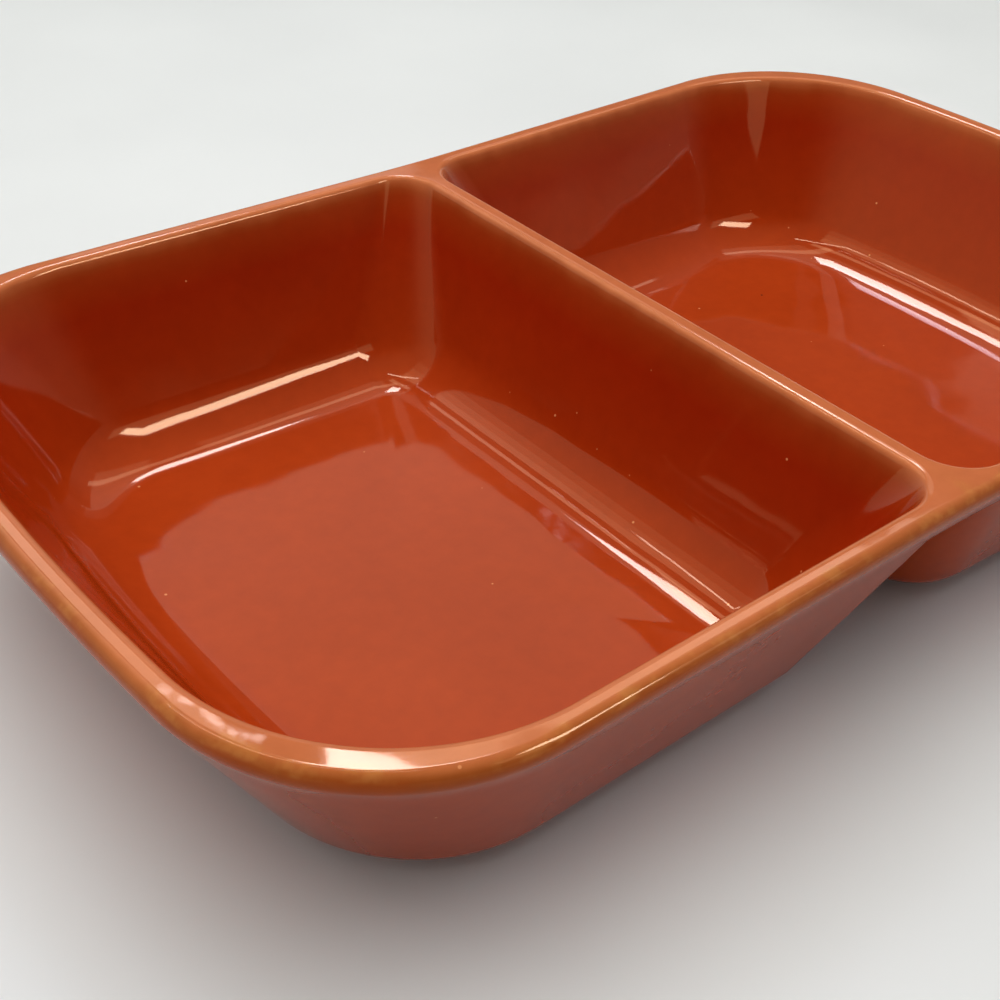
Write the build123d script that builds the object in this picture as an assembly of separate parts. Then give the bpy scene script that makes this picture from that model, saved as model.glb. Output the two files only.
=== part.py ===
"""Divided serving bowl: two drafted wells hung under one rim, cast in clay and glazed inside and out.

+X runs along the length, +Y along the divider and +Z up. The origin is the middle of the resting plane.
Each well is drawn on the +X side and mirrored. Depths are measured down from the top of the rim.
"""
import os
from math import cos, radians, sin, tan

from build123d import *

# Overall size
overall_length = 296.5
overall_width = 184.5
overall_height = 49.5

# Plan shape: bowed ends, and long sides that open a little away from the divider
end_bow_angle = 3.9
side_splay_angle = 1.6
rim_corner_radius = 46.5
base_corner_radius = 33.0
waist_blend = 12.0

# Rim and divider crest
rim_height = 5.5
lip_width = 5.1
lip_outer_round = 2.4
lip_inner_round = 2.0
divider_width = 4.6

# Inside of a well
floor_thickness = 5.2
inside_end_draft = 28.6
inside_side_draft = 24.5
divider_draft = 18.0
well_corner_radius = 45.5
floor_corner_radius = 31.0
divider_corner_radius = 10.0
divider_floor_corner_radius = 20.0
floor_round = 16.6

# Outside of a well
outside_end_draft = 29.5
outside_side_draft = 23.3
valley_half_gap = 0.5
valley_corner_radius = 12.5
valley_base_corner_radius = 18.0
base_round = 14.4

# Foot ring and glaze
foot_height = 2.0
foot_width = 5.0
foot_setback = 1.0
foot_corner_radius = 8.0
glaze = 0.4

# Spare height that carries a cutting solid past the face it opens
cut_past = 2.0

# Depths of the outside of the base, which the foot ring stands under, and of the floor above it
base_depth = overall_height - foot_height
well_depth = base_depth - floor_thickness


def lip_overhang(draft):
    """How far the sharp edge of a drafted wall lies outside the rounded lip cut from it."""
    return lip_outer_round * (1 / tan(radians(90 - draft) / 2) - 1)


def blend(top_value, low_value, share):
    """A value part of the way from the rim to the bottom."""
    return top_value + (low_value - top_value) * share


def on_circle(centre, radius, angle):
    """The point of a circle at an angle in degrees from +X."""
    return (centre[0] + radius * cos(radians(angle)), centre[1] + radius * sin(radians(angle)))


def flip_y(point):
    return (point[0], -point[1])


def flip_x(point):
    return (-point[0], point[1])


def outer_corner(end_x, half_width, radius):
    """Start, middle and end of the corner that joins the bowed end to a long side, at +X +Y."""
    bow_radius = (half_width - radius) / sin(radians(end_bow_angle)) + radius
    centre_x = end_x - bow_radius + (bow_radius - radius) * cos(radians(end_bow_angle))
    centre = (centre_x, half_width - radius)
    last_angle = 90 + side_splay_angle
    angles = (end_bow_angle, (end_bow_angle + last_angle) / 2, last_angle)
    return [on_circle(centre, radius, angle) for angle in angles]


def divider_corner(divider_x, radius, side_point):
    """Start, middle and end of the corner that joins a long side to the divider wall, at +X +Y."""
    splay = radians(side_splay_angle)
    side_offset = side_point[1] * cos(splay) - side_point[0] * sin(splay)
    centre_x = divider_x + radius
    centre_y = (side_offset - radius + centre_x * sin(splay)) / cos(splay)
    first_angle = 90 + side_splay_angle
    angles = (first_angle, (first_angle + 180) / 2, 180)
    return [on_circle((centre_x, centre_y), radius, angle) for angle in angles]


def well_outline(end_x, half_width, divider_x, end_radius, divider_radius):
    """Closed plan outline of one well."""
    outer = outer_corner(end_x, half_width, end_radius)
    inner = divider_corner(divider_x, divider_radius, outer[2])
    outer_low = [flip_y(point) for point in outer]
    inner_low = [flip_y(point) for point in inner]
    return Wire([
        ThreePointArc(outer_low[0], (end_x, 0), outer[0]),
        ThreePointArc(*outer),
        Line(outer[2], inner[0]),
        ThreePointArc(*inner),
        Line(inner[2], inner_low[2]),
        ThreePointArc(*reversed(inner_low)),
        Line(inner_low[0], outer_low[2]),
        ThreePointArc(*reversed(outer_low)),
    ])


def rim_outline(end_x, half_width, end_radius):
    """Closed plan outline of the whole rim, drawn in softly where the divider meets it."""
    outer = outer_corner(end_x, half_width, end_radius)
    splay = radians(side_splay_angle)
    blend_y = outer[2][1] - (outer[2][0] - waist_blend) * tan(splay)
    waist_radius = waist_blend / sin(splay)
    blend_point = (waist_blend, blend_y)
    waist_point = (0, blend_y - waist_radius * (1 - cos(splay)))
    outer_low = [flip_y(point) for point in outer]
    far = [flip_x(point) for point in outer]
    far_low = [flip_x(point) for point in outer_low]
    blend_low = flip_y(blend_point)
    return Wire([
        ThreePointArc(outer_low[0], (end_x, 0), outer[0]),
        ThreePointArc(*outer),
        Line(outer[2], blend_point),
        ThreePointArc(blend_point, waist_point, flip_x(blend_point)),
        Line(flip_x(blend_point), far[2]),
        ThreePointArc(*reversed(far)),
        ThreePointArc(far[0], (-end_x, 0), far_low[0]),
        ThreePointArc(*far_low),
        Line(far_low[2], flip_x(blend_low)),
        ThreePointArc(flip_x(blend_low), flip_y(waist_point), blend_low),
        Line(blend_low, outer_low[2]),
        ThreePointArc(*reversed(outer_low)),
    ])


def at_depth(outline, depth):
    return Pos(0, 0, overall_height - depth) * outline


def outside_plan(depth, inset=0.0):
    """End, half width and corner radius of the outside wall, or of a face set in from it."""
    end_x = overall_length / 2 + lip_overhang(outside_end_draft)
    end_x -= depth * tan(radians(outside_end_draft)) + inset / cos(radians(outside_end_draft))
    half_width = overall_width / 2 + lip_overhang(outside_side_draft)
    half_width -= depth * tan(radians(outside_side_draft)) + inset / cos(radians(outside_side_draft))
    radius = blend(rim_corner_radius, base_corner_radius, depth / base_depth) - inset
    return end_x, half_width, radius


def valley_wall(depth, inset=0.0):
    """How far the outside of a well lies from the middle plane, on its divider side."""
    drop = (depth - rim_height) * tan(radians(divider_draft))
    return valley_half_gap + drop + inset / cos(radians(divider_draft))


def outside_well_outline(depth, inset=0.0):
    end_x, half_width, radius = outside_plan(depth, inset)
    valley_radius = blend(valley_corner_radius, valley_base_corner_radius, depth / base_depth) - inset
    return well_outline(end_x, half_width, valley_wall(depth, inset), radius, valley_radius)


def foot_outline(setback, corner_radius):
    end_x, half_width, radius = outside_plan(base_depth, setback)
    return well_outline(end_x, half_width, valley_wall(base_depth, setback), radius, corner_radius)


def inside_plan(depth, inset=0.0):
    """The five sizes of the inside wall's outline, or of a face set out behind it."""
    share = depth / well_depth
    end_x = overall_length / 2 - lip_width
    end_x += inset / cos(radians(inside_end_draft)) - depth * tan(radians(inside_end_draft))
    half_width = overall_width / 2 - lip_width
    half_width += inset / cos(radians(inside_side_draft)) - depth * tan(radians(inside_side_draft))
    divider_x = divider_width / 2 + depth * tan(radians(divider_draft))
    divider_x -= inset / cos(radians(divider_draft))
    end_radius = blend(well_corner_radius, floor_corner_radius, share) + inset
    divider_radius = blend(divider_corner_radius, divider_floor_corner_radius, share) + inset
    return end_x, half_width, divider_x, end_radius, divider_radius


def lowest_edges(solid):
    return solid.faces().sort_by(Axis.Z)[0].edges()


def outside_form(inset=0.0):
    """Solid block of one well below the rim, with its rounded base."""
    low_depth = base_depth - inset
    top = at_depth(outside_well_outline(rim_height, inset), rim_height)
    base = at_depth(outside_well_outline(low_depth, inset), low_depth)
    block = Solid.make_loft([base, top], ruled=True)
    return fillet(lowest_edges(block), base_round - inset)


def cavity(inset=0.0):
    """The hollow of one well, carried up past the rim."""
    floor_depth = well_depth + inset
    top = at_depth(well_outline(*inside_plan(-cut_past, inset)), -cut_past)
    floor = at_depth(well_outline(*inside_plan(floor_depth, inset)), floor_depth)
    hollow = Solid.make_loft([floor, top], ruled=True)
    return fillet(lowest_edges(hollow), floor_round + inset)


def crown(band):
    """The level top face of the rim."""
    return band.faces().sort_by(Axis.Z)[-1]


def rim_form(inset=0.0):
    """The band at the top of the bowl with its divider bar and rounded lips."""
    low = at_depth(rim_outline(*outside_plan(rim_height, inset)), rim_height)
    top = at_depth(rim_outline(*outside_plan(inset, inset)), inset)
    hollow = cavity(inset)
    band = fillet(crown(Solid.make_loft([low, top], ruled=True)).edges(), lip_outer_round - inset)
    band = band - hollow - mirror(hollow, about=Plane.YZ)
    inner_edges = [edge for wire in crown(band).inner_wires() for edge in wire.edges()]
    return fillet(inner_edges, lip_inner_round - inset)


def divider_zone():
    """Block that holds the straight stretch of the divider bar."""
    end_x, half_width, divider_x, end_radius, divider_radius = inside_plan(0)
    side_point = outer_corner(end_x, half_width, end_radius)[2]
    crest_half_length = divider_corner(divider_x, divider_radius, side_point)[2][1]
    block = Box(overall_length / 2, 2 * crest_half_length, rim_height + cut_past,
                align=(Align.CENTER, Align.CENTER, Align.MIN))
    return Pos(0, 0, overall_height - rim_height) * block


def below_rim():
    """Block that holds everything under the rim."""
    height = overall_height - rim_height
    return Box(overall_length, overall_width, height, align=(Align.CENTER, Align.CENTER, Align.MIN))


def foot_ring():
    """Unglazed ring that one well stands on."""
    round_reach = base_round * tan(radians(90 - divider_draft) / 2)
    setback = round_reach + foot_setback
    outer = Face(foot_outline(setback, foot_corner_radius))
    inner = Face(foot_outline(setback + foot_width, foot_corner_radius - foot_width))
    return extrude(outer - inner, foot_height + glaze, dir=(0, 0, 1))


def one_well():
    """The pieces of the +X well, by the last part of their names."""
    foot = foot_ring()
    hollow = cavity(glaze)
    block = outside_form(glaze)
    coat = (outside_form() - block - foot).solids().sort_by(SortBy.VOLUME)
    return {
        "well": block - hollow,
        "well_glaze": (hollow & below_rim()) - cavity(),
        "outer_glaze": coat[-1],
        "base_glaze": coat[0],
        "foot_ring": foot,
    }


def rim_pieces():
    """The rim and the divider bar, each in clay and in glaze."""
    clay = rim_form(glaze)
    coat = rim_form() - clay
    zone = divider_zone()
    return {"rim": clay - zone, "divider": clay & zone, "rim_glaze": coat - zone, "divider_glaze": coat & zone}


def all_pieces():
    pieces = {}
    for name, shape in one_well().items():
        pieces["right_" + name] = shape
        pieces["left_" + name] = mirror(shape, about=Plane.YZ)
    pieces.update(rim_pieces())
    return pieces


os.makedirs("parts", exist_ok=True)
for name, shape in all_pieces().items():
    shape.label = name
    export_step(shape, "parts/" + name + ".step")
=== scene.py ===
"""Divided serving bowl: the glaze coats as smooth meshes over the packed clay, on a pale studio floor."""
from math import cos, pi, radians, sin, tan

import bpy
import numpy as np
from mathutils import Matrix, Vector


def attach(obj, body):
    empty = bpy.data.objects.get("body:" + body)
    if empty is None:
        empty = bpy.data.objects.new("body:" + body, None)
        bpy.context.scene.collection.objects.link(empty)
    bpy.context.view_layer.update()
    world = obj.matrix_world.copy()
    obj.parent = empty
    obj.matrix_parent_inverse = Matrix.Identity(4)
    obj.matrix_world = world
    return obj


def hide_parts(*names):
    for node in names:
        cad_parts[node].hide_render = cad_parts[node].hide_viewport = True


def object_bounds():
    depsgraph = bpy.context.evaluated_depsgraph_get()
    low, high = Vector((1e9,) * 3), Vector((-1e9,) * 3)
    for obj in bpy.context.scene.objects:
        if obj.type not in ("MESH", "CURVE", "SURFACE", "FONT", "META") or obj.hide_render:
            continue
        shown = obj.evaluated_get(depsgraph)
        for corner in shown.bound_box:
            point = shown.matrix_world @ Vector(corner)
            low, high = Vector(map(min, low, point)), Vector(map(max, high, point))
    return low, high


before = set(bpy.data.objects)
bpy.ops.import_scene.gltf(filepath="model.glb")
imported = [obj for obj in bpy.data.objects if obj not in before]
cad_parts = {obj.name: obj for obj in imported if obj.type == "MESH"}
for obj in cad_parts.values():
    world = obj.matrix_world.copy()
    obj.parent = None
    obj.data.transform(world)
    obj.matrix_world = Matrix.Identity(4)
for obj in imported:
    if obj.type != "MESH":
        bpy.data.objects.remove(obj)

cad_low, cad_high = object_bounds()
mm = 0.001

# Sizes of the bowl in millimetres and degrees
overall_length = (cad_high.x - cad_low.x) / mm
overall_width = (cad_high.y - cad_low.y) / mm
overall_height = cad_high.z / mm
end_bow_angle = 3.9
side_splay_angle = 1.6
rim_corner_radius = 46.5
base_corner_radius = 33.0
waist_blend = 12.0
rim_height = 5.5
lip_width = 5.1
lip_outer_round = 2.4
lip_inner_round = 2.0
divider_width = 4.6
floor_thickness = 5.2
inside_end_draft = 28.6
inside_side_draft = 24.5
divider_draft = 18.0
well_corner_radius = 45.5
floor_corner_radius = 31.0
divider_corner_radius = 10.0
divider_floor_corner_radius = 20.0
floor_round = 16.6
outside_end_draft = 29.5
outside_side_draft = 23.3
valley_half_gap = 0.5
valley_corner_radius = 12.5
valley_base_corner_radius = 18.0
base_round = 14.4
foot_height = 2.0
foot_width = 5.0
foot_setback = 1.0
foot_corner_radius = 8.0
glaze = 0.4
base_depth = overall_height - foot_height
well_depth = base_depth - floor_thickness

# The measure over the lip, in millimetres, that colours the glaze
crown_width = 1.4
outside_start = 8.0
floor_measure = 40.0
under_measure = 4.0

# How far the floors' shading normals lean in at their edges, as on a slightly dished floor
floor_dish = radians(3.2)

# How finely the coats are meshed
end_steps = 10
corner_steps = 48
side_steps = 18
web_steps = 28
divider_steps = 18
lip_steps = 10
outer_lip_steps = 14
upper_wall_steps = 3
wall_steps = 8
outside_wall_steps = 10
round_steps = 24
floor_steps = 14
level_steps = 2

# Points that agree to this many decimal places of a millimetre are made one
weld_places = 4

# The least length that a normal is divided by
least_length = 1e-12


def arc(centre, radius, first, last, steps):
    """Points of a plan arc and the directions out of the outline at them."""
    angles = np.radians(np.linspace(first, last, steps + 1))
    normals = np.stack([np.cos(angles), np.sin(angles)], 1)
    return np.asarray(centre) + radius * normals, normals


def line(first, last, normal, steps):
    """Points of a straight stretch of an outline and the direction out of it at them."""
    share = np.linspace(0, 1, steps + 1)[:, None]
    points = np.asarray(first) * (1 - share) + np.asarray(last) * share
    return points, np.repeat(np.asarray([normal], float), steps + 1, 0)


def chain(parts):
    """One run of points and normals from stretches that share their end points."""
    points = [parts[0][0]] + [part[0][1:] for part in parts[1:]]
    normals = [parts[0][1]] + [part[1][1:] for part in parts[1:]]
    return np.concatenate(points), np.concatenate(normals)


def end_and_corner(end_x, half_width, radius):
    """Half of the bowed end and the corner after it, at +X +Y."""
    bow_radius = (half_width - radius) / sin(radians(end_bow_angle)) + radius
    centre_x = end_x - bow_radius + (bow_radius - radius) * cos(radians(end_bow_angle))
    end = arc((end_x - bow_radius, 0), bow_radius, 0, end_bow_angle, end_steps)
    last_angle = 90 + side_splay_angle
    corner = arc((centre_x, half_width - radius), radius, end_bow_angle, last_angle, corner_steps)
    return end, corner


def well_half(end_x, half_width, divider_x, end_radius, divider_radius):
    """Half the outline of a well, from the middle of its end to the middle of the divider."""
    splay = radians(side_splay_angle)
    end, corner = end_and_corner(end_x, half_width, end_radius)
    side_point = corner[0][-1]
    side_offset = side_point[1] * cos(splay) - side_point[0] * sin(splay)
    centre_x = divider_x + divider_radius
    centre_y = (side_offset - divider_radius + centre_x * sin(splay)) / cos(splay)
    turn = arc((centre_x, centre_y), divider_radius, 90 + side_splay_angle, 180, web_steps)
    side = line(side_point, turn[0][0], (-sin(splay), cos(splay)), side_steps)
    divider = line(turn[0][-1], (divider_x, 0), (-1, 0), divider_steps)
    return chain([end, corner, side, turn, divider])


def mirrored_loop(half):
    """The whole outline from its half on the +Y side."""
    points, normals = half
    flip = np.array([1, -1])
    return (np.concatenate([points, points[-2:0:-1] * flip]),
            np.concatenate([normals, normals[-2:0:-1] * flip]))


def blend(top_value, low_value, share):
    """A value part of the way between two."""
    return top_value + (low_value - top_value) * share


def lip_overhang(draft):
    """How far the sharp edge of a drafted wall lies outside the rounded lip cut from it."""
    return lip_outer_round * (1 / tan(radians(90 - draft) / 2) - 1)


def outside_plan(depth, inset=0.0):
    """End, half width and corner radius of the outside wall, or of a face set in from it."""
    end_x = overall_length / 2 + lip_overhang(outside_end_draft)
    end_x -= depth * tan(radians(outside_end_draft)) + inset / cos(radians(outside_end_draft))
    half_width = overall_width / 2 + lip_overhang(outside_side_draft)
    half_width -= depth * tan(radians(outside_side_draft)) + inset / cos(radians(outside_side_draft))
    radius = blend(rim_corner_radius, base_corner_radius, depth / base_depth) - inset
    return end_x, half_width, radius


def valley_wall(depth, inset=0.0):
    """How far the outside of a well lies from the middle plane, on its divider side."""
    drop = (depth - rim_height) * tan(radians(divider_draft))
    return valley_half_gap + drop + inset / cos(radians(divider_draft))


def valley_radius(depth):
    """Corner radius of the outside of a well, on its divider side."""
    return blend(valley_corner_radius, valley_base_corner_radius, depth / base_depth)


def inside_plan(depth):
    """The five sizes of the inside wall's outline."""
    share = depth / well_depth
    return (overall_length / 2 - lip_width - depth * tan(radians(inside_end_draft)),
            overall_width / 2 - lip_width - depth * tan(radians(inside_side_draft)),
            divider_width / 2 + depth * tan(radians(divider_draft)),
            blend(well_corner_radius, floor_corner_radius, share),
            blend(divider_corner_radius, divider_floor_corner_radius, share))


def round_reach(radius, draft):
    """How far a rounding of the bottom edge reaches over the flat."""
    return radius * tan(radians(90 - draft) / 2)


class Wall:
    """A drafted wall between two outlines, with one upright profile at each point of them."""

    def __init__(self, top, low, top_depth, low_depth):
        self.top, self.normal = top
        self.tangent = np.stack([-self.normal[:, 1], self.normal[:, 0]], 1)
        self.top_depth, self.fall = top_depth, low_depth - top_depth
        across = self.top - low[0]
        self.slope = (across * self.normal).sum(1) / self.fall
        self.slide = (across * self.tangent).sum(1) / self.fall
        self.lean = np.arctan(self.slope)

    def on_wall(self, depth):
        """How far outward the wall lies at a depth."""
        return (self.top_depth - depth) * self.slope

    def place(self, out, depth, ruled_depth):
        """Points that far outward at that depth, in line with the wall at the ruled depth."""
        shift = self.slide * (ruled_depth - self.top_depth)
        plan = self.top + self.normal * out[:, None] - self.tangent * shift[:, None]
        return np.column_stack([plan, np.broadcast_to(overall_height - depth, len(plan))])

    def facing(self, out, up):
        """Normals that lean that much outward and that much up."""
        return np.column_stack([self.normal * out[:, None], up])


def stack(rows):
    """Three arrays from rows of points, normals and measures over the lip."""
    points, normals, along = zip(*rows)
    return np.array(points), np.array(normals), np.array(along)


def unfold(rows):
    """Draw the fold out of the floor's corners beside the divider, more in each row down to the floor."""
    first = end_steps + corner_steps + side_steps
    turn = np.arange(first, first + web_steps + 1)
    share = np.linspace(0, 1, web_steps + 1)[:, None]
    edge = rows[-1][0]
    for places in (turn, len(edge) - turn):
        side_end, divider_end = edge[places[0]], edge[places[-1]]
        meeting = np.array([divider_end[0], side_end[1], side_end[2]])
        corner = side_end * (1 - share) ** 2 + meeting * 2 * share * (1 - share) + divider_end * share ** 2
        shift = corner - edge[places]
        for place, (points, _, _) in enumerate(rows):
            points[places] += shift * ((place + 1) / len(rows)) ** 2


def inside_rows():
    """Inside of the +X well: rows to the rim's lower edge, rows on to the floor, and the floor's middle."""
    top = mirrored_loop(well_half(*inside_plan(0)))
    low = mirrored_loop(well_half(*inside_plan(well_depth)))
    wall = Wall(top, low, 0, well_depth)
    lean = wall.lean
    lip_reach = lip_inner_round * np.tan((pi / 2 - lean) / 2)
    lip_depth = lip_inner_round * (1 - np.sin(lean))
    upper, lower = [], []
    for share in np.linspace(0, 1, lip_steps + 1):
        turn = share * (pi / 2 - lean)
        out = lip_reach - lip_inner_round * np.sin(turn)
        depth = lip_inner_round * (1 - np.cos(turn))
        facing = wall.facing(-np.sin(turn), np.cos(turn))
        upper.append((wall.place(out, depth, lip_depth), facing, -lip_inner_round * turn))
    lip_length = lip_inner_round * turn
    round_depth = well_depth - floor_round * (1 - np.sin(lean))

    def wall_row(depth):
        along = -lip_length - (depth - lip_depth) / np.cos(lean)
        facing = wall.facing(-np.cos(lean), np.sin(lean))
        return wall.place(wall.on_wall(depth), depth, depth), facing, along

    for share in np.linspace(0, 1, upper_wall_steps + 1)[1:]:
        upper.append(wall_row(blend(lip_depth, rim_height, share)))
    for share in np.linspace(0, 1, wall_steps + 1):
        lower.append(wall_row(blend(rim_height, round_depth, share)))
    flat_out = wall.on_wall(well_depth) - floor_round * np.tan((pi / 2 - lean) / 2)
    last_along = lower[-1][2]
    for share in np.linspace(0, 1, round_steps + 1)[1:]:
        turn = (1 - share) * (pi / 2 - lean)
        out = flat_out + floor_round * np.sin(turn)
        depth = well_depth - floor_round * (1 - np.cos(turn))
        along = last_along - floor_round * share * (pi / 2 - lean)
        shown = blend(floor_dish, pi / 2 - lean, 1 - share)
        facing = wall.facing(-np.sin(shown), np.cos(shown))
        lower.append((wall.place(out, depth, round_depth), facing, along))
    unfold(lower[-round_steps:])
    edge, _, along = lower[-1]
    middle = edge.mean(0)
    for share in np.linspace(0, 1, floor_steps + 1)[1:-1]:
        shown = np.full(len(edge), blend(floor_dish, 0, share))
        facing = wall.facing(-np.sin(shown), np.cos(shown))
        lower.append((blend(edge, middle, share), facing, along - share * floor_measure))
    return stack(upper), stack(lower), middle


def rim_quarter(depth, web_x):
    """A quarter of the rim's outline, from the middle of the end to the edge of the divider bar."""
    end, corner = end_and_corner(*outside_plan(depth))
    splay = radians(side_splay_angle)
    corner_x, corner_y = corner[0][-1]

    def on_side(x):
        return corner_y - (corner_x - x) * tan(splay)

    side_normal = (-sin(splay), cos(splay))
    side = line(corner[0][-1], (web_x[0], on_side(web_x[0])), side_normal, side_steps)
    waist_radius = waist_blend / sin(splay)
    waist_centre = on_side(waist_blend) + waist_radius * cos(splay)
    inside_waist = web_x < waist_blend
    lean = np.where(inside_waist, web_x / waist_radius, sin(splay))
    rise = np.sqrt(1 - lean ** 2)
    web_y = np.where(inside_waist, waist_centre - waist_radius * rise, on_side(web_x))
    web = np.column_stack([web_x, web_y]), np.column_stack([-lean, rise])
    return chain([end, corner, side, web])


def outside_rim_rows(web_x):
    """Rows of a quarter of the rim's outside, from the crown over the lip to the rim's lower edge."""
    wall = Wall(rim_quarter(0, web_x), rim_quarter(rim_height, web_x), 0, rim_height)
    lean = wall.lean
    lip_reach = lip_outer_round / np.tan((pi / 2 - lean) / 2)
    lip_depth = lip_outer_round * (1 + np.sin(lean))
    rows = []
    for share in np.linspace(0, 1, outer_lip_steps + 1):
        turn = share * (pi / 2 + lean)
        out = -lip_reach + lip_outer_round * np.sin(turn)
        depth = lip_outer_round * (1 - np.cos(turn))
        facing = wall.facing(np.sin(turn), np.cos(turn))
        rows.append((wall.place(out, depth, lip_depth), facing, crown_width + lip_outer_round * turn))
    lip_length = rows[-1][2]
    for share in np.linspace(0, 1, upper_wall_steps + 1)[1:]:
        depth = blend(lip_depth, rim_height, share)
        along = lip_length + (depth - lip_depth) / np.cos(lean)
        facing = wall.facing(np.cos(lean), -np.sin(lean))
        rows.append((wall.place(wall.on_wall(depth), depth, depth), facing, along))
    return stack(rows)


def outside_well_plan(depth):
    """The five sizes of the outside wall's outline."""
    end_x, half_width, radius = outside_plan(depth)
    return end_x, half_width, valley_wall(depth), radius, valley_radius(depth)


def outside_rows():
    """Rows of the outside of the +X well, from the rim's lower edge down and under to the foot ring."""
    top = mirrored_loop(well_half(*outside_well_plan(rim_height)))
    low = mirrored_loop(well_half(*outside_well_plan(base_depth)))
    wall = Wall(top, low, rim_height, base_depth)
    lean = wall.lean
    round_depth = base_depth - base_round * (1 - np.sin(lean))
    rows = []
    for share in np.linspace(0, 1, outside_wall_steps + 1):
        depth = blend(rim_height, round_depth, share)
        along = outside_start + (depth - rim_height) / np.cos(lean)
        facing = wall.facing(np.cos(lean), -np.sin(lean))
        rows.append((wall.place(wall.on_wall(depth), depth, depth), facing, along))
    flat_out = wall.on_wall(base_depth) - base_round * np.tan((pi / 2 - lean) / 2)
    last_along = along
    for share in np.linspace(0, 1, round_steps + 1)[1:]:
        turn = (1 - share) * (pi / 2 - lean)
        out = flat_out + base_round * np.sin(turn)
        depth = base_depth - base_round * (1 - np.cos(turn))
        along = last_along + base_round * share * (pi / 2 - lean)
        rows.append((wall.place(out, depth, round_depth), wall.facing(np.sin(turn), -np.cos(turn)), along))
    setback = round_reach(base_round, divider_draft) + foot_setback + foot_width / 2
    end_x, half_width, radius = outside_plan(base_depth, setback)
    foot = mirrored_loop(well_half(end_x, half_width, valley_wall(base_depth, setback), radius,
                                   foot_corner_radius - foot_width / 2))
    under = np.column_stack([foot[0], np.full(len(foot[0]), overall_height - base_depth)])
    rows.append((under, rows[-1][1], rows[-1][2] + under_measure))
    return stack(rows)


class Coat:
    """A sheet of glaze gathered from patches, then made a closed shell as thick as the glaze."""

    def __init__(self):
        self.points, self.normals, self.along, self.faces = [], [], [], []

    def add(self, points, normals, along):
        """Put points in, and tell the place of the first of them."""
        first = len(self.points)
        self.points.extend(np.asarray(points, float).reshape(-1, 3))
        self.normals.extend(np.asarray(normals, float).reshape(-1, 3))
        self.along.extend(np.asarray(along, float).reshape(-1))
        return first

    def grid(self, rows, closed=False):
        """Put in a patch of faces between rows of points, closed round or open."""
        points, normals, along = rows
        count, width = along.shape
        first = self.add(points, normals, along)
        for row in range(count - 1):
            for column in range(width if closed else width - 1):
                following = (column + 1) % width
                above = first + row * width
                below = above + width
                self.faces.append([above + column, above + following, below + following, below + column])

    def fan(self, ring, middle, normal, along):
        """Close a ring of points that are already there to a middle point."""
        apex = self.add(middle, normal, along)
        for place, point in enumerate(ring):
            self.faces.append([point, ring[(place + 1) % len(ring)], apex])

    def mirror(self, axis):
        """A copy on the other side of the middle plane across that axis."""
        flip = np.ones(3)
        flip[axis] = -1
        copy = Coat()
        copy.points = [point * flip for point in self.points]
        copy.normals = [normal * flip for normal in self.normals]
        copy.along = list(self.along)
        copy.faces = [list(face) for face in self.faces]
        return copy

    def take(self, other):
        """Put in all the patches of another coat."""
        first = self.add(other.points, other.normals, other.along)
        self.faces.extend([first + corner for corner in face] for face in other.faces)

    def welded(self):
        """Points, normals, measures and faces, with the points that coincide made one."""
        points = np.array(self.points)
        rounded = np.round(points, weld_places)
        _, first, index = np.unique(rounded, axis=0, return_index=True, return_inverse=True)
        index = index.reshape(-1)
        normals = np.zeros((len(first), 3))
        np.add.at(normals, index, np.array(self.normals))
        normals /= np.linalg.norm(normals, axis=1)[:, None]
        points = points[first]
        faces = []
        for face in self.faces:
            corners = list(dict.fromkeys(int(index[corner]) for corner in face))
            if len(corners) < 3:
                continue
            here, following, previous = (points[corners[place]] for place in (0, 1, -1))
            if np.cross(following - here, previous - here) @ normals[corners].mean(0) < 0:
                corners.reverse()
            faces.append(corners)
        return points, normals, np.array(self.along)[first], faces

    def build(self, name):
        """The shell as an object: the sheet, its inner face and the border between them."""
        points, normals, along, faces = self.welded()
        count = len(points)
        used = dict.fromkeys(edge for face in faces for edge in zip(face, face[1:] + face[:1]))
        border = [(first, last) for first, last in used if (last, first) not in used]
        inner_faces = [[corner + count for corner in reversed(face)] for face in faces]
        side_faces = [[last, first, first + count, last + count] for first, last in border]
        everything = np.concatenate([points, points - normals * glaze]) * mm
        mesh = bpy.data.meshes.new(name)
        mesh.from_pydata([tuple(point) for point in everything], [], faces + inner_faces + side_faces)
        mesh.polygons.foreach_set("use_smooth", [True] * len(mesh.polygons))
        measure = mesh.attributes.new("over_lip", "FLOAT", "POINT")
        measure.data.foreach_set("value", np.concatenate([along, along]).astype(np.float32))
        loop_normals = [tuple(normals[corner]) for face in faces for corner in face]
        loop_normals += [tuple(-normals[corner - count]) for face in inner_faces for corner in face]
        for face in side_faces:
            here, following, across = (everything[corner] for corner in face[:3])
            outward = np.cross(following - here, across - here)
            outward = outward / max(np.linalg.norm(outward), least_length)
            loop_normals += [tuple(outward)] * len(face)
        mesh.update()
        mesh.normals_split_custom_set(loop_normals)
        piece = bpy.data.objects.new(name, mesh)
        bpy.context.scene.collection.objects.link(piece)
        return piece


def columns(rows, first, last):
    """The same stretch of every row."""
    return tuple(part[:, first:last + 1] for part in rows)


def level(first, last, up, first_along=0.0):
    """Rows between two runs of points on one level face, with the measure led to 0 at the last run."""
    shares = np.linspace(0, 1, level_steps + 1)
    rows = np.array([blend(first, last, share) for share in shares])
    normals = np.zeros_like(rows)
    normals[..., 2] = up
    along = np.repeat(first_along * (1 - shares)[:, None], rows.shape[1], 1)
    return rows, normals, along


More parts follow.
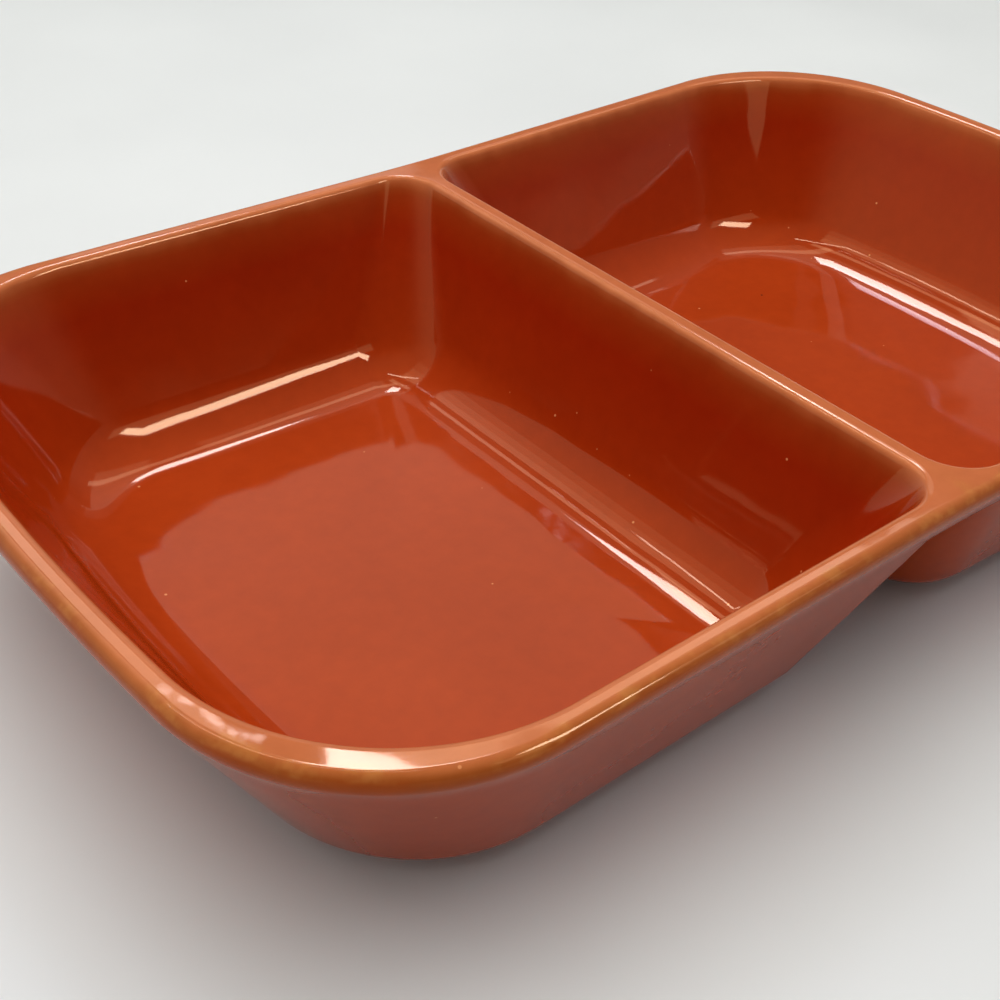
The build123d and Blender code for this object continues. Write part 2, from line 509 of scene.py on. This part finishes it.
def make_coats():
    """The coats of glaze by piece name, with the nodes that each one replaces and its slot."""
    upper, lower, floor_middle = inside_rows()
    quarter = end_steps + corner_steps + side_steps + web_steps
    loop = upper[2].shape[1]
    hole = upper[0][0]
    turn_x = hole[quarter - web_steps:quarter + 1, 0]
    valley = outside_rows()
    valley_top = valley[0][0]
    turned = (turn_x[0] - turn_x) / (turn_x[0] - turn_x[-1])
    web_x = blend(valley_top[quarter - web_steps, 0], turn_x[-1], turned)
    outside = outside_rim_rows(web_x)

    lining = Coat()
    lining.grid(lower, closed=True)
    last_row = len(lower[2]) - 1
    ring = [last_row * loop + column for column in range(loop)]
    lining.fan(ring, floor_middle, (0, 0, 1), lower[2][-1].mean())

    outer = Coat()
    outer.grid(valley, closed=True)

    rim_part = Coat()
    rim_part.grid(columns(upper, 0, quarter))
    rim_part.grid(outside)
    rim_part.grid(level(outside[0][0], hole[:quarter + 1], 1, crown_width))
    under_web = slice(quarter - web_steps, quarter + 1)
    rim_part.grid(level(outside[0][-1][under_web], valley_top[under_web], -1, outside_start))
    half = Coat()
    half.take(rim_part)
    half.take(rim_part.mirror(1))
    rim = Coat()
    rim.take(half)
    rim.take(half.mirror(0))
    bar_end = Coat()
    both_sides = np.array([[1, 1, 1], [-1, 1, 1]])
    points, normals, along = (part[:, -1:] for part in outside)
    bar_end.grid(level(points[0] * both_sides, hole[quarter] * both_sides, 1, crown_width))
    bar_end.grid(level(points[-1] * both_sides, valley_top[quarter] * both_sides, -1, outside_start))
    bar_end.grid((points * both_sides, normals * both_sides, np.repeat(along, 2, 1)))
    rim.take(bar_end)
    rim.take(bar_end.mirror(1))

    crest = Coat()
    far = loop - quarter
    crest.grid(columns(upper, quarter, far))
    crest.take(crest.mirror(0))
    for row, up in ((hole[quarter:far + 1], 1), (valley_top[quarter:far + 1], -1)):
        crest.grid(level(row, row * np.array([-1, 1, 1]), up))

    return {
        "right_lining": (lining, ("right_well_glaze",), "inside_glaze"),
        "left_lining": (lining.mirror(0), ("left_well_glaze",), "inside_glaze"),
        "right_outside": (outer, ("right_outer_glaze",), "outside_glaze"),
        "left_outside": (outer.mirror(0), ("left_outer_glaze",), "outside_glaze"),
        "rim_coat": (rim, ("rim_glaze",), "lip_glaze"),
        "divider_coat": (crest, ("divider_glaze",), "lip_glaze"),
    }


class Surface:
    """One procedural material: short calls that add nodes to it and link them."""

    def __init__(self, name):
        self.material = bpy.data.materials.new(name)
        self.material.use_nodes = True
        self.tree = self.material.node_tree
        self.shader = self.tree.nodes["Principled BSDF"]
        self.place = self.tree.nodes.new("ShaderNodeTexCoord").outputs["Object"]

    def node(self, kind, inputs=(), **settings):
        """A node with its settings, and with its inputs linked or set."""
        node = self.tree.nodes.new("ShaderNode" + kind)
        for name, value in settings.items():
            setattr(node, name, value)
        for name, value in dict(inputs).items():
            if isinstance(value, bpy.types.NodeSocket):
                self.tree.links.new(value, node.inputs[name])
            else:
                node.inputs[name].default_value = value
        return node

    def noise(self, size, detail, rough=0.5):
        """Cloudy noise with blotches of about a given size in metres, between 0 and 1."""
        inputs = {"Vector": self.place, "Scale": 1 / size, "Detail": detail, "Roughness": rough}
        return self.node("TexNoise", inputs).outputs["Fac"]

    def dots(self, spacing, radius, share):
        """Round spots in that share of the cells of a random pattern, 1 inside and 0 outside."""
        cells = self.node("TexVoronoi", {"Vector": self.place, "Scale": 1 / spacing})
        chance = self.node("SeparateColor", {"Color": cells.outputs["Color"]}).outputs["Red"]
        picked = self.math("LESS_THAN", chance, share)
        near = self.step(cells.outputs["Distance"], radius / spacing, radius / spacing / 2, 0, 1)
        return self.math("MULTIPLY", picked, near)

    def math(self, operation, first, second):
        return self.node("Math", {0: first, 1: second}, operation=operation).outputs[0]

    def step(self, value, low, high, low_value, high_value):
        """A value led smoothly from one range to another."""
        inputs = {"Value": value, "From Min": low, "From Max": high}
        inputs.update({"To Min": low_value, "To Max": high_value})
        return self.node("MapRange", inputs, interpolation_type="SMOOTHSTEP").outputs["Result"]

    def spread(self, noise, low_value, high_value):
        """A value led over the range that most of a noise keeps to."""
        return self.step(noise, noise_low, noise_high, low_value, high_value)

    def tones(self, noise, low_colour, high_colour):
        """Colours led over the range that most of a noise keeps to."""
        return self.ramp(noise, ((noise_low, low_colour), (noise_high, high_colour)))

    def between(self, value, low, high, soft):
        """1 where a value lies between two limits, fading to 0 outside them."""
        rise = self.step(value, low - soft, low, 0, 1)
        return self.math("MULTIPLY", rise, self.step(value, high, high + soft, 1, 0))

    def ramp(self, value, stops):
        """Colours along a value, from pairs of value and colour."""
        first, last = stops[0][0], stops[-1][0]
        share = self.node("MapRange", {"Value": value, "From Min": first, "From Max": last})
        node = self.node("ValToRGB", {"Fac": share.outputs["Result"]})
        elements = node.color_ramp.elements
        # A new ramp holds two elements already
        for place, (stop, colour) in enumerate(stops):
            position = (stop - first) / (last - first)
            element = elements[place] if place < 2 else elements.new(position)
            element.position = position
            element.color = (*colour, 1)
        return node.outputs["Color"]

    def mix(self, factor, first, second, blend_type="MIX"):
        """Two colours mixed. A colour is a socket or three numbers."""
        node = self.tree.nodes.new("ShaderNodeMix")
        node.data_type = "RGBA"
        node.blend_type = blend_type
        # The factor and the two colours share their names with other sockets of the node, so they go by place
        sockets = (node.inputs[0], node.inputs[6], node.inputs[7])
        for socket, value in zip(sockets, (factor, first, second)):
            if isinstance(value, bpy.types.NodeSocket):
                self.tree.links.new(value, socket)
            else:
                socket.default_value = value if socket.type == "VALUE" else (*value, 1)
        return node.outputs[2]

    def bump(self, height, distance, normal=None):
        inputs = {"Height": height, "Distance": distance}
        if normal is not None:
            inputs["Normal"] = normal
        return self.node("Bump", inputs).outputs["Normal"]

    def set(self, **sockets):
        """Link or set the shader's own inputs, named with underscores for spaces."""
        for name, value in sockets.items():
            socket = self.shader.inputs[name.replace("_", " ").title().replace("Ior", "IOR")]
            if isinstance(value, bpy.types.NodeSocket):
                self.tree.links.new(value, socket)
            else:
                socket.default_value = value


# The range that most of the cloudy noise keeps to
noise_low = 0.3
noise_high = 0.7

# Glaze colours by millimetres over the lip: negative inside the well, 0 at the inner edge of the crown. They
# hold painted light: the walls inside and out are darker than the floors as painted shade, and the lip is
# paler partly for thin glaze over its edge and partly as a painted highlight on the crown that fades as the
# round turns down
glaze_colours_with_painted_light = (
    (-62, (0.425, 0.044, 0.005)),
    (-50, (0.420, 0.042, 0.005)),
    (-36, (0.370, 0.030, 0.003)),
    (-14, (0.320, 0.018, 0.002)),
    (-9, (0.325, 0.025, 0.003)),
    (-5.5, (0.335, 0.034, 0.005)),
    (-4, (0.350, 0.050, 0.009)),
    (-2.6, (0.430, 0.090, 0.024)),
    (-1, (0.590, 0.165, 0.058)),
    (0, (0.570, 0.148, 0.052)),
    (1.2, (0.560, 0.148, 0.050)),
    (2.2, (0.480, 0.122, 0.032)),
    (3.2, (0.380, 0.088, 0.017)),
    (4.4, (0.345, 0.056, 0.009)),
    (6.5, (0.345, 0.044, 0.006)),
    (30, (0.350, 0.043, 0.005)),
)
base_glaze_colours = (glaze_colours_with_painted_light[-1][1], glaze_colours_with_painted_light[-4][1])
thin_glaze_colour = (0.66, 0.27, 0.07)
pale_speck_colour = (0.72, 0.26, 0.10)
dark_speck_colour = (0.05, 0.016, 0.008)
clay_speck_colour = (0.22, 0.12, 0.06)
dust_colour = (0.30, 0.28, 0.26)
gloss_tint = (1.0, 0.56, 0.24, 1)
glaze_ior = 1.48

# How far the glaze colours wander over the lip, in millimetres
wander = 0.4

# Where patches of thin pale glaze lie over the lip, in millimetres, and how strong they are
thin_edge_start = 1.9
thin_edge_end = 3.6
thin_edge_fade = 0.9
thin_patch_limits = (0.45, 0.70)
thin_patch_strength = 0.34

# Where the gloss falls off over the lip, in millimetres, and its levels before and after
gloss_fall_start = 4
gloss_fall_end = 9
full_gloss = 0.5
outside_gloss = 0.07


def glaze_surface(name, measured):
    """Glossy iron-red glaze, thin and pale over the lip where the piece carries the measure over it; along
    that measure it also carries painted light: a paler crown as a painted highlight, and walls darker than
    the floors as painted shade.
    """
    surface = Surface(name)
    cloud = surface.noise(size=0.045, detail=3)
    grain = surface.noise(size=0.004, detail=3, rough=0.6)
    if measured:
        over_lip = surface.node("Attribute", attribute_name="over_lip").outputs["Fac"]
        shift = surface.spread(surface.noise(size=0.012, detail=2), -wander, wander)
        over_lip = surface.math("ADD", over_lip, shift)
        # Painted light and shade: this ramp makes the lip's crown paler and the walls darker than the floors
        colour = surface.ramp(over_lip, glaze_colours_with_painted_light)
        blotches = surface.noise(size=0.006, detail=3, rough=0.6)
        patches = surface.step(blotches, *thin_patch_limits, 0, thin_patch_strength)
        edge = surface.between(over_lip, thin_edge_start, thin_edge_end, thin_edge_fade)
        colour = surface.mix(surface.math("MULTIPLY", edge, patches), colour, thin_glaze_colour)
    else:
        colour = surface.tones(cloud, *base_glaze_colours)
    shade = surface.tones(cloud, (0.93, 0.90, 0.86), (1.06, 1.09, 1.12))
    colour = surface.mix(1.0, colour, shade, "MULTIPLY")
    fine = surface.tones(grain, (0.96, 0.95, 0.94), (1.04, 1.05, 1.06))
    colour = surface.mix(1.0, colour, fine, "MULTIPLY")
    pale_specks = surface.dots(spacing=0.007, radius=0.0004, share=0.35)
    colour = surface.mix(pale_specks, colour, pale_speck_colour)
    dark_specks = surface.dots(spacing=0.017, radius=0.0005, share=0.22)
    colour = surface.mix(dark_specks, colour, dark_speck_colour)
    waves = surface.bump(surface.noise(size=0.024, detail=1.0), distance=0.00022)
    ripple = surface.bump(surface.noise(size=0.0030, detail=1.5), distance=0.000004, normal=waves)
    surface.set(base_color=colour, normal=ripple, roughness=surface.spread(cloud, 0.035, 0.075),
                ior=glaze_ior, specular_tint=gloss_tint)
    if measured:
        gloss = surface.step(over_lip, gloss_fall_start, gloss_fall_end, full_gloss, outside_gloss)
        surface.set(specular_ior_level=gloss)
    return surface.material


def clay_surface():
    """Bare buff earthenware with a sandy grain."""
    surface = Surface("clay")
    grain = surface.noise(size=0.0012, detail=4, rough=0.65)
    cloud = surface.noise(size=0.02, detail=2)
    colour = surface.tones(grain, (0.46, 0.31, 0.19), (0.62, 0.46, 0.31))
    shade = surface.tones(cloud, (0.92, 0.90, 0.88), (1.05, 1.05, 1.05))
    colour = surface.mix(1.0, colour, shade, "MULTIPLY")
    colour = surface.mix(surface.dots(spacing=0.004, radius=0.0003, share=0.3), colour, clay_speck_colour)
    surface.set(base_color=colour, roughness=surface.spread(grain, 0.75, 0.9),
                normal=surface.bump(grain, distance=0.0001))
    return surface.material


def floor_surface():
    """Pale matt backdrop with a few specks of dust."""
    surface = Surface("floor")
    cloud = surface.noise(size=0.12, detail=3)
    colour = surface.tones(cloud, (0.775, 0.788, 0.778), (0.812, 0.825, 0.812))
    colour = surface.mix(surface.dots(spacing=0.03, radius=0.0005, share=0.2), colour, dust_colour)
    surface.set(base_color=colour, roughness=surface.spread(cloud, 0.5, 0.6))
    return surface.material


coat_material = glaze_surface("glaze", True)
base_material = glaze_surface("base glaze", False)
clay_material = clay_surface()

for name, (coat, nodes, slot_name) in make_coats().items():
    piece = coat.build(name)
    piece.data.materials.append(coat_material)
    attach(piece, "root")
    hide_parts(*nodes)

for name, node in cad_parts.items():
    node.data.materials.clear()
    node.data.materials.append(base_material if name.endswith("glaze") else clay_material)

# Camera, from a fit to the rim, the divider, the floors and the lower outline in the photograph
sensor_width = 36
focal_length = 56.06
nearest_seen = 0.01
camera_place = (-0.21571, -0.21272, 0.21122)
camera_azimuth = -39.71
camera_elevation = 35.72
camera_roll = 2.33


def make_camera():
    """The camera at its fitted place, turned about the upright, lifted and rolled."""
    turn, lift, roll = radians(camera_azimuth), radians(camera_elevation), radians(camera_roll)
    back = Vector((sin(turn) * cos(lift), -cos(turn) * cos(lift), sin(lift)))
    right = Vector((cos(turn), sin(turn), 0))
    up = back.cross(right)
    rolled_right = right * cos(roll) + up * sin(roll)
    rolled_up = up * cos(roll) - right * sin(roll)
    data = bpy.data.cameras.new("camera")
    data.sensor_width = sensor_width
    data.lens = focal_length
    data.clip_start = nearest_seen
    camera = bpy.data.objects.new("camera", data)
    turned = Matrix((rolled_right, rolled_up, back)).transposed().to_4x4()
    camera.matrix_world = Matrix.Translation(camera_place) @ turned
    bpy.context.scene.collection.objects.link(camera)
    bpy.context.scene.camera = camera


# Fill of the studio, its floor and its backdrop
floor_reach = 4
fill_level = 0.27
backdrop_level = 0.82
world_colour = (0.965, 1.0, 0.975, 1)

# Surroundings that the glaze mirrors, with the cosines from its direction between which each comes in
surroundings = 0.40
back_left_azimuth = 140
back_left_limits = (0.35, 0.85)
back_left_level = 0.85
dark_side_azimuth = -110
dark_side_limits = (0.35, 0.7)
dark_side_share = 0.06
dim_back_azimuth = 38
dim_back_limits = (0.68, 0.86)
dim_back_share = 0.3
horizon_limits = (0.20, 0.26)
horizon_level = 0.55

# Strips and boards that are only mirrored, and the small lamps that the crown of the lip mirrors
strip_colour = (0.52, 0.64, 0.92)
lip_lamp_height = 0.35
lip_lamp_width = 0.004
lip_lamp_share = 0.7
lip_lamp_radiance = 18
back_board_height = 0.44
back_board_ends = (0.12, 0.62)


def make_floor():
    """A plain pale floor under the bowl."""
    mesh = bpy.data.meshes.new("floor")
    corners = [(x * floor_reach, y * floor_reach, 0) for x, y in ((-1, -1), (1, -1), (1, 1), (-1, 1))]
    mesh.from_pydata(corners, [], [(0, 1, 2, 3)])
    mesh.materials.append(floor_surface())
    floor = bpy.data.objects.new("floor", mesh)
    bpy.context.scene.collection.objects.link(floor)


def panel(name, centre, size, radiance, colour=(1, 1, 1), mirrored=False):
    """A rectangular lamp that faces the origin: it lights the bowl, or is only mirrored in the glaze."""
    data = bpy.data.lights.new(name, "AREA")
    data.shape = "RECTANGLE"
    data.size, data.size_y = size
    data.energy = radiance * pi * size[0] * size[1]
    data.color = colour
    lamp = bpy.data.objects.new(name, data)
    lamp.rotation_mode = "QUATERNION"
    lamp.rotation_quaternion = Vector(centre).normalized().to_track_quat("Z", "Y")
    lamp.location = centre
    lamp.visible_camera = False
    lamp.visible_glossy = mirrored
    lamp.visible_diffuse = not mirrored
    bpy.context.scene.collection.objects.link(lamp)
    return lamp


def bar(name, first, last, width, radiance, colour=(1, 1, 1)):
    """A strip that the glaze mirrors, between two points and facing down as squarely as it can."""
    first, last = Vector(first), Vector(last)
    size = ((last - first).length, width)
    lamp = panel(name, (first + last) / 2, size, radiance, colour, mirrored=True)
    along = (last - first).normalized()
    side = Vector((0, 0, 1)).cross(along).normalized()
    back = along.cross(side)
    lamp.rotation_quaternion = Matrix((along, side, back)).transposed().to_quaternion()


def dotted_bow(name, first, middle, last, count):
    """A bowed row of small lamps over three places, which the crown of the lip mirrors."""
    for place in range(count):
        share = (place + 0.5) / count
        weights = ((1 - share) * (1 - 2 * share), 4 * share * (1 - share), share * (2 * share - 1))
        centre = weights[0] * Vector(first) + weights[1] * Vector(middle) + weights[2] * Vector(last)
        reach = (Vector(last) - Vector(first)) * lip_lamp_share / 2 / count
        ends = [(*(centre + side * reach), lip_lamp_height) for side in (-1, 1)]
        bar(name, *ends, lip_lamp_width, lip_lamp_radiance, strip_colour)


def from_bowl(azimuth, elevation, distance):
    """The place at a direction and distance from the middle of the bowl."""
    reach = distance * cos(radians(elevation))
    return reach * cos(radians(azimuth)), reach * sin(radians(azimuth)), distance * sin(radians(elevation))


def make_world():
    """An even fill, a pale backdrop, and for the glaze to mirror, surroundings that differ by direction."""
    world = bpy.data.worlds.new("studio")
    world.use_nodes = True
    tree = world.node_tree
    background = tree.nodes["Background"]
    place = tree.nodes.new("ShaderNodeTexCoord")

    def ramp(direction, low, high, low_value, high_value):
        """A level that changes with how far a view turns to a direction."""
        dot = tree.nodes.new("ShaderNodeVectorMath")
        dot.operation = "DOT_PRODUCT"
        tree.links.new(place.outputs["Generated"], dot.inputs[0])
        dot.inputs[1].default_value = direction
        step = tree.nodes.new("ShaderNodeMapRange")
        step.interpolation_type = "SMOOTHSTEP"
        step.inputs["From Min"].default_value = low
        step.inputs["From Max"].default_value = high
        step.inputs["To Min"].default_value = low_value
        step.inputs["To Max"].default_value = high_value
        tree.links.new(dot.outputs["Value"], step.inputs["Value"])
        return step.outputs["Result"]

    def towards(azimuth, *limits_and_levels):
        return ramp((cos(radians(azimuth)), sin(radians(azimuth)), 0), *limits_and_levels)

    def join(operation, first, second):
        node = tree.nodes.new("ShaderNodeMath")
        node.operation = operation
        tree.links.new(first, node.inputs[0])
        tree.links.new(second, node.inputs[1])
        return node.outputs[0]

    mirrored = towards(back_left_azimuth, *back_left_limits, surroundings, back_left_level)
    mirrored = join("MULTIPLY", mirrored, towards(dark_side_azimuth, *dark_side_limits, 1, dark_side_share))
    mirrored = join("MULTIPLY", mirrored, towards(dim_back_azimuth, *dim_back_limits, 1, dim_back_share))
    mirrored = join("MAXIMUM", mirrored, ramp((0, 0, 1), *horizon_limits, horizon_level, 0))
    path = tree.nodes.new("ShaderNodeLightPath")

    def choose(ray, other, chosen):
        """One level for a kind of ray and another for the rest."""
        mix = tree.nodes.new("ShaderNodeMix")
        tree.links.new(path.outputs[ray], mix.inputs["Factor"])
        for name, value in (("A", other), ("B", chosen)):
            if isinstance(value, bpy.types.NodeSocket):
                tree.links.new(value, mix.inputs[name])
            else:
                mix.inputs[name].default_value = value
        return mix.outputs["Result"]

    strength = choose("Is Camera Ray", choose("Is Glossy Ray", fill_level, mirrored), backdrop_level)
    tree.links.new(strength, background.inputs["Strength"])
    background.inputs["Color"].default_value = world_colour
    bpy.context.scene.world = world


make_camera()
make_floor()
make_world()

# A soft key from above and two weak fills light the bowl
panel("key", centre=(-0.03, 0.08, 0.90), size=(1.25, 1.25), radiance=1.92, colour=(1, 0.985, 0.96))
panel("left fill", centre=(-0.80, 0.35, 0.38), size=(0.6, 0.5), radiance=0.9)
panel("right fill", centre=(0.85, -0.10, 0.40), size=(0.6, 0.5), radiance=0.8)

# Strips and boards that the glaze mirrors
bar("front strip", (0.09, -0.34, 0.56), (0.38, -0.575, 0.56), width=0.12, radiance=36, colour=strip_colour)
bar("front board", (-0.05, -0.47, 0.44), (0.45, -0.47, 0.44), width=0.20, radiance=1.3)
right_strip_low = from_bowl(azimuth=56, elevation=49.5, distance=2)
right_strip_high = from_bowl(azimuth=66, elevation=61, distance=2)
bar("right strip", right_strip_low, right_strip_high, width=0.28, radiance=36, colour=strip_colour)
bar("front lip board", (0.02, 0.170, lip_lamp_height), (0.36, 0.125, lip_lamp_height),
    width=0.035, radiance=2.8)
dotted_bow("corner lip lamp", (-0.009, 0.263), (0.0005, 0.2275), (0.011, 0.203), count=6)
dotted_bow("front lip lamp", (0.050, 0.161), (0.098, 0.145), (0.161, 0.141), count=10)
for inner_x, width, radiance in (
    (0.045, 0.04, 3.0),
    (-0.06, 0.07, 1.9),
    (-0.13, 0.09, 1.2),
    (-0.22, 0.12, 0.6),
):
    ends = [(inner_x - width / 2, y, back_board_height) for y in back_board_ends]
    bar("back board", *ends, width, radiance)
bar("top strip", (0.0, 0.03, 0.60), (-0.21, 0.39, 0.60), width=0.016, radiance=27, colour=strip_colour)
bar("ceiling board", (0.257, 0.078, 0.46), (0.409, 1.014, 0.46), width=0.33, radiance=0.80)

bpy.context.scene.view_settings.view_transform = "Standard"
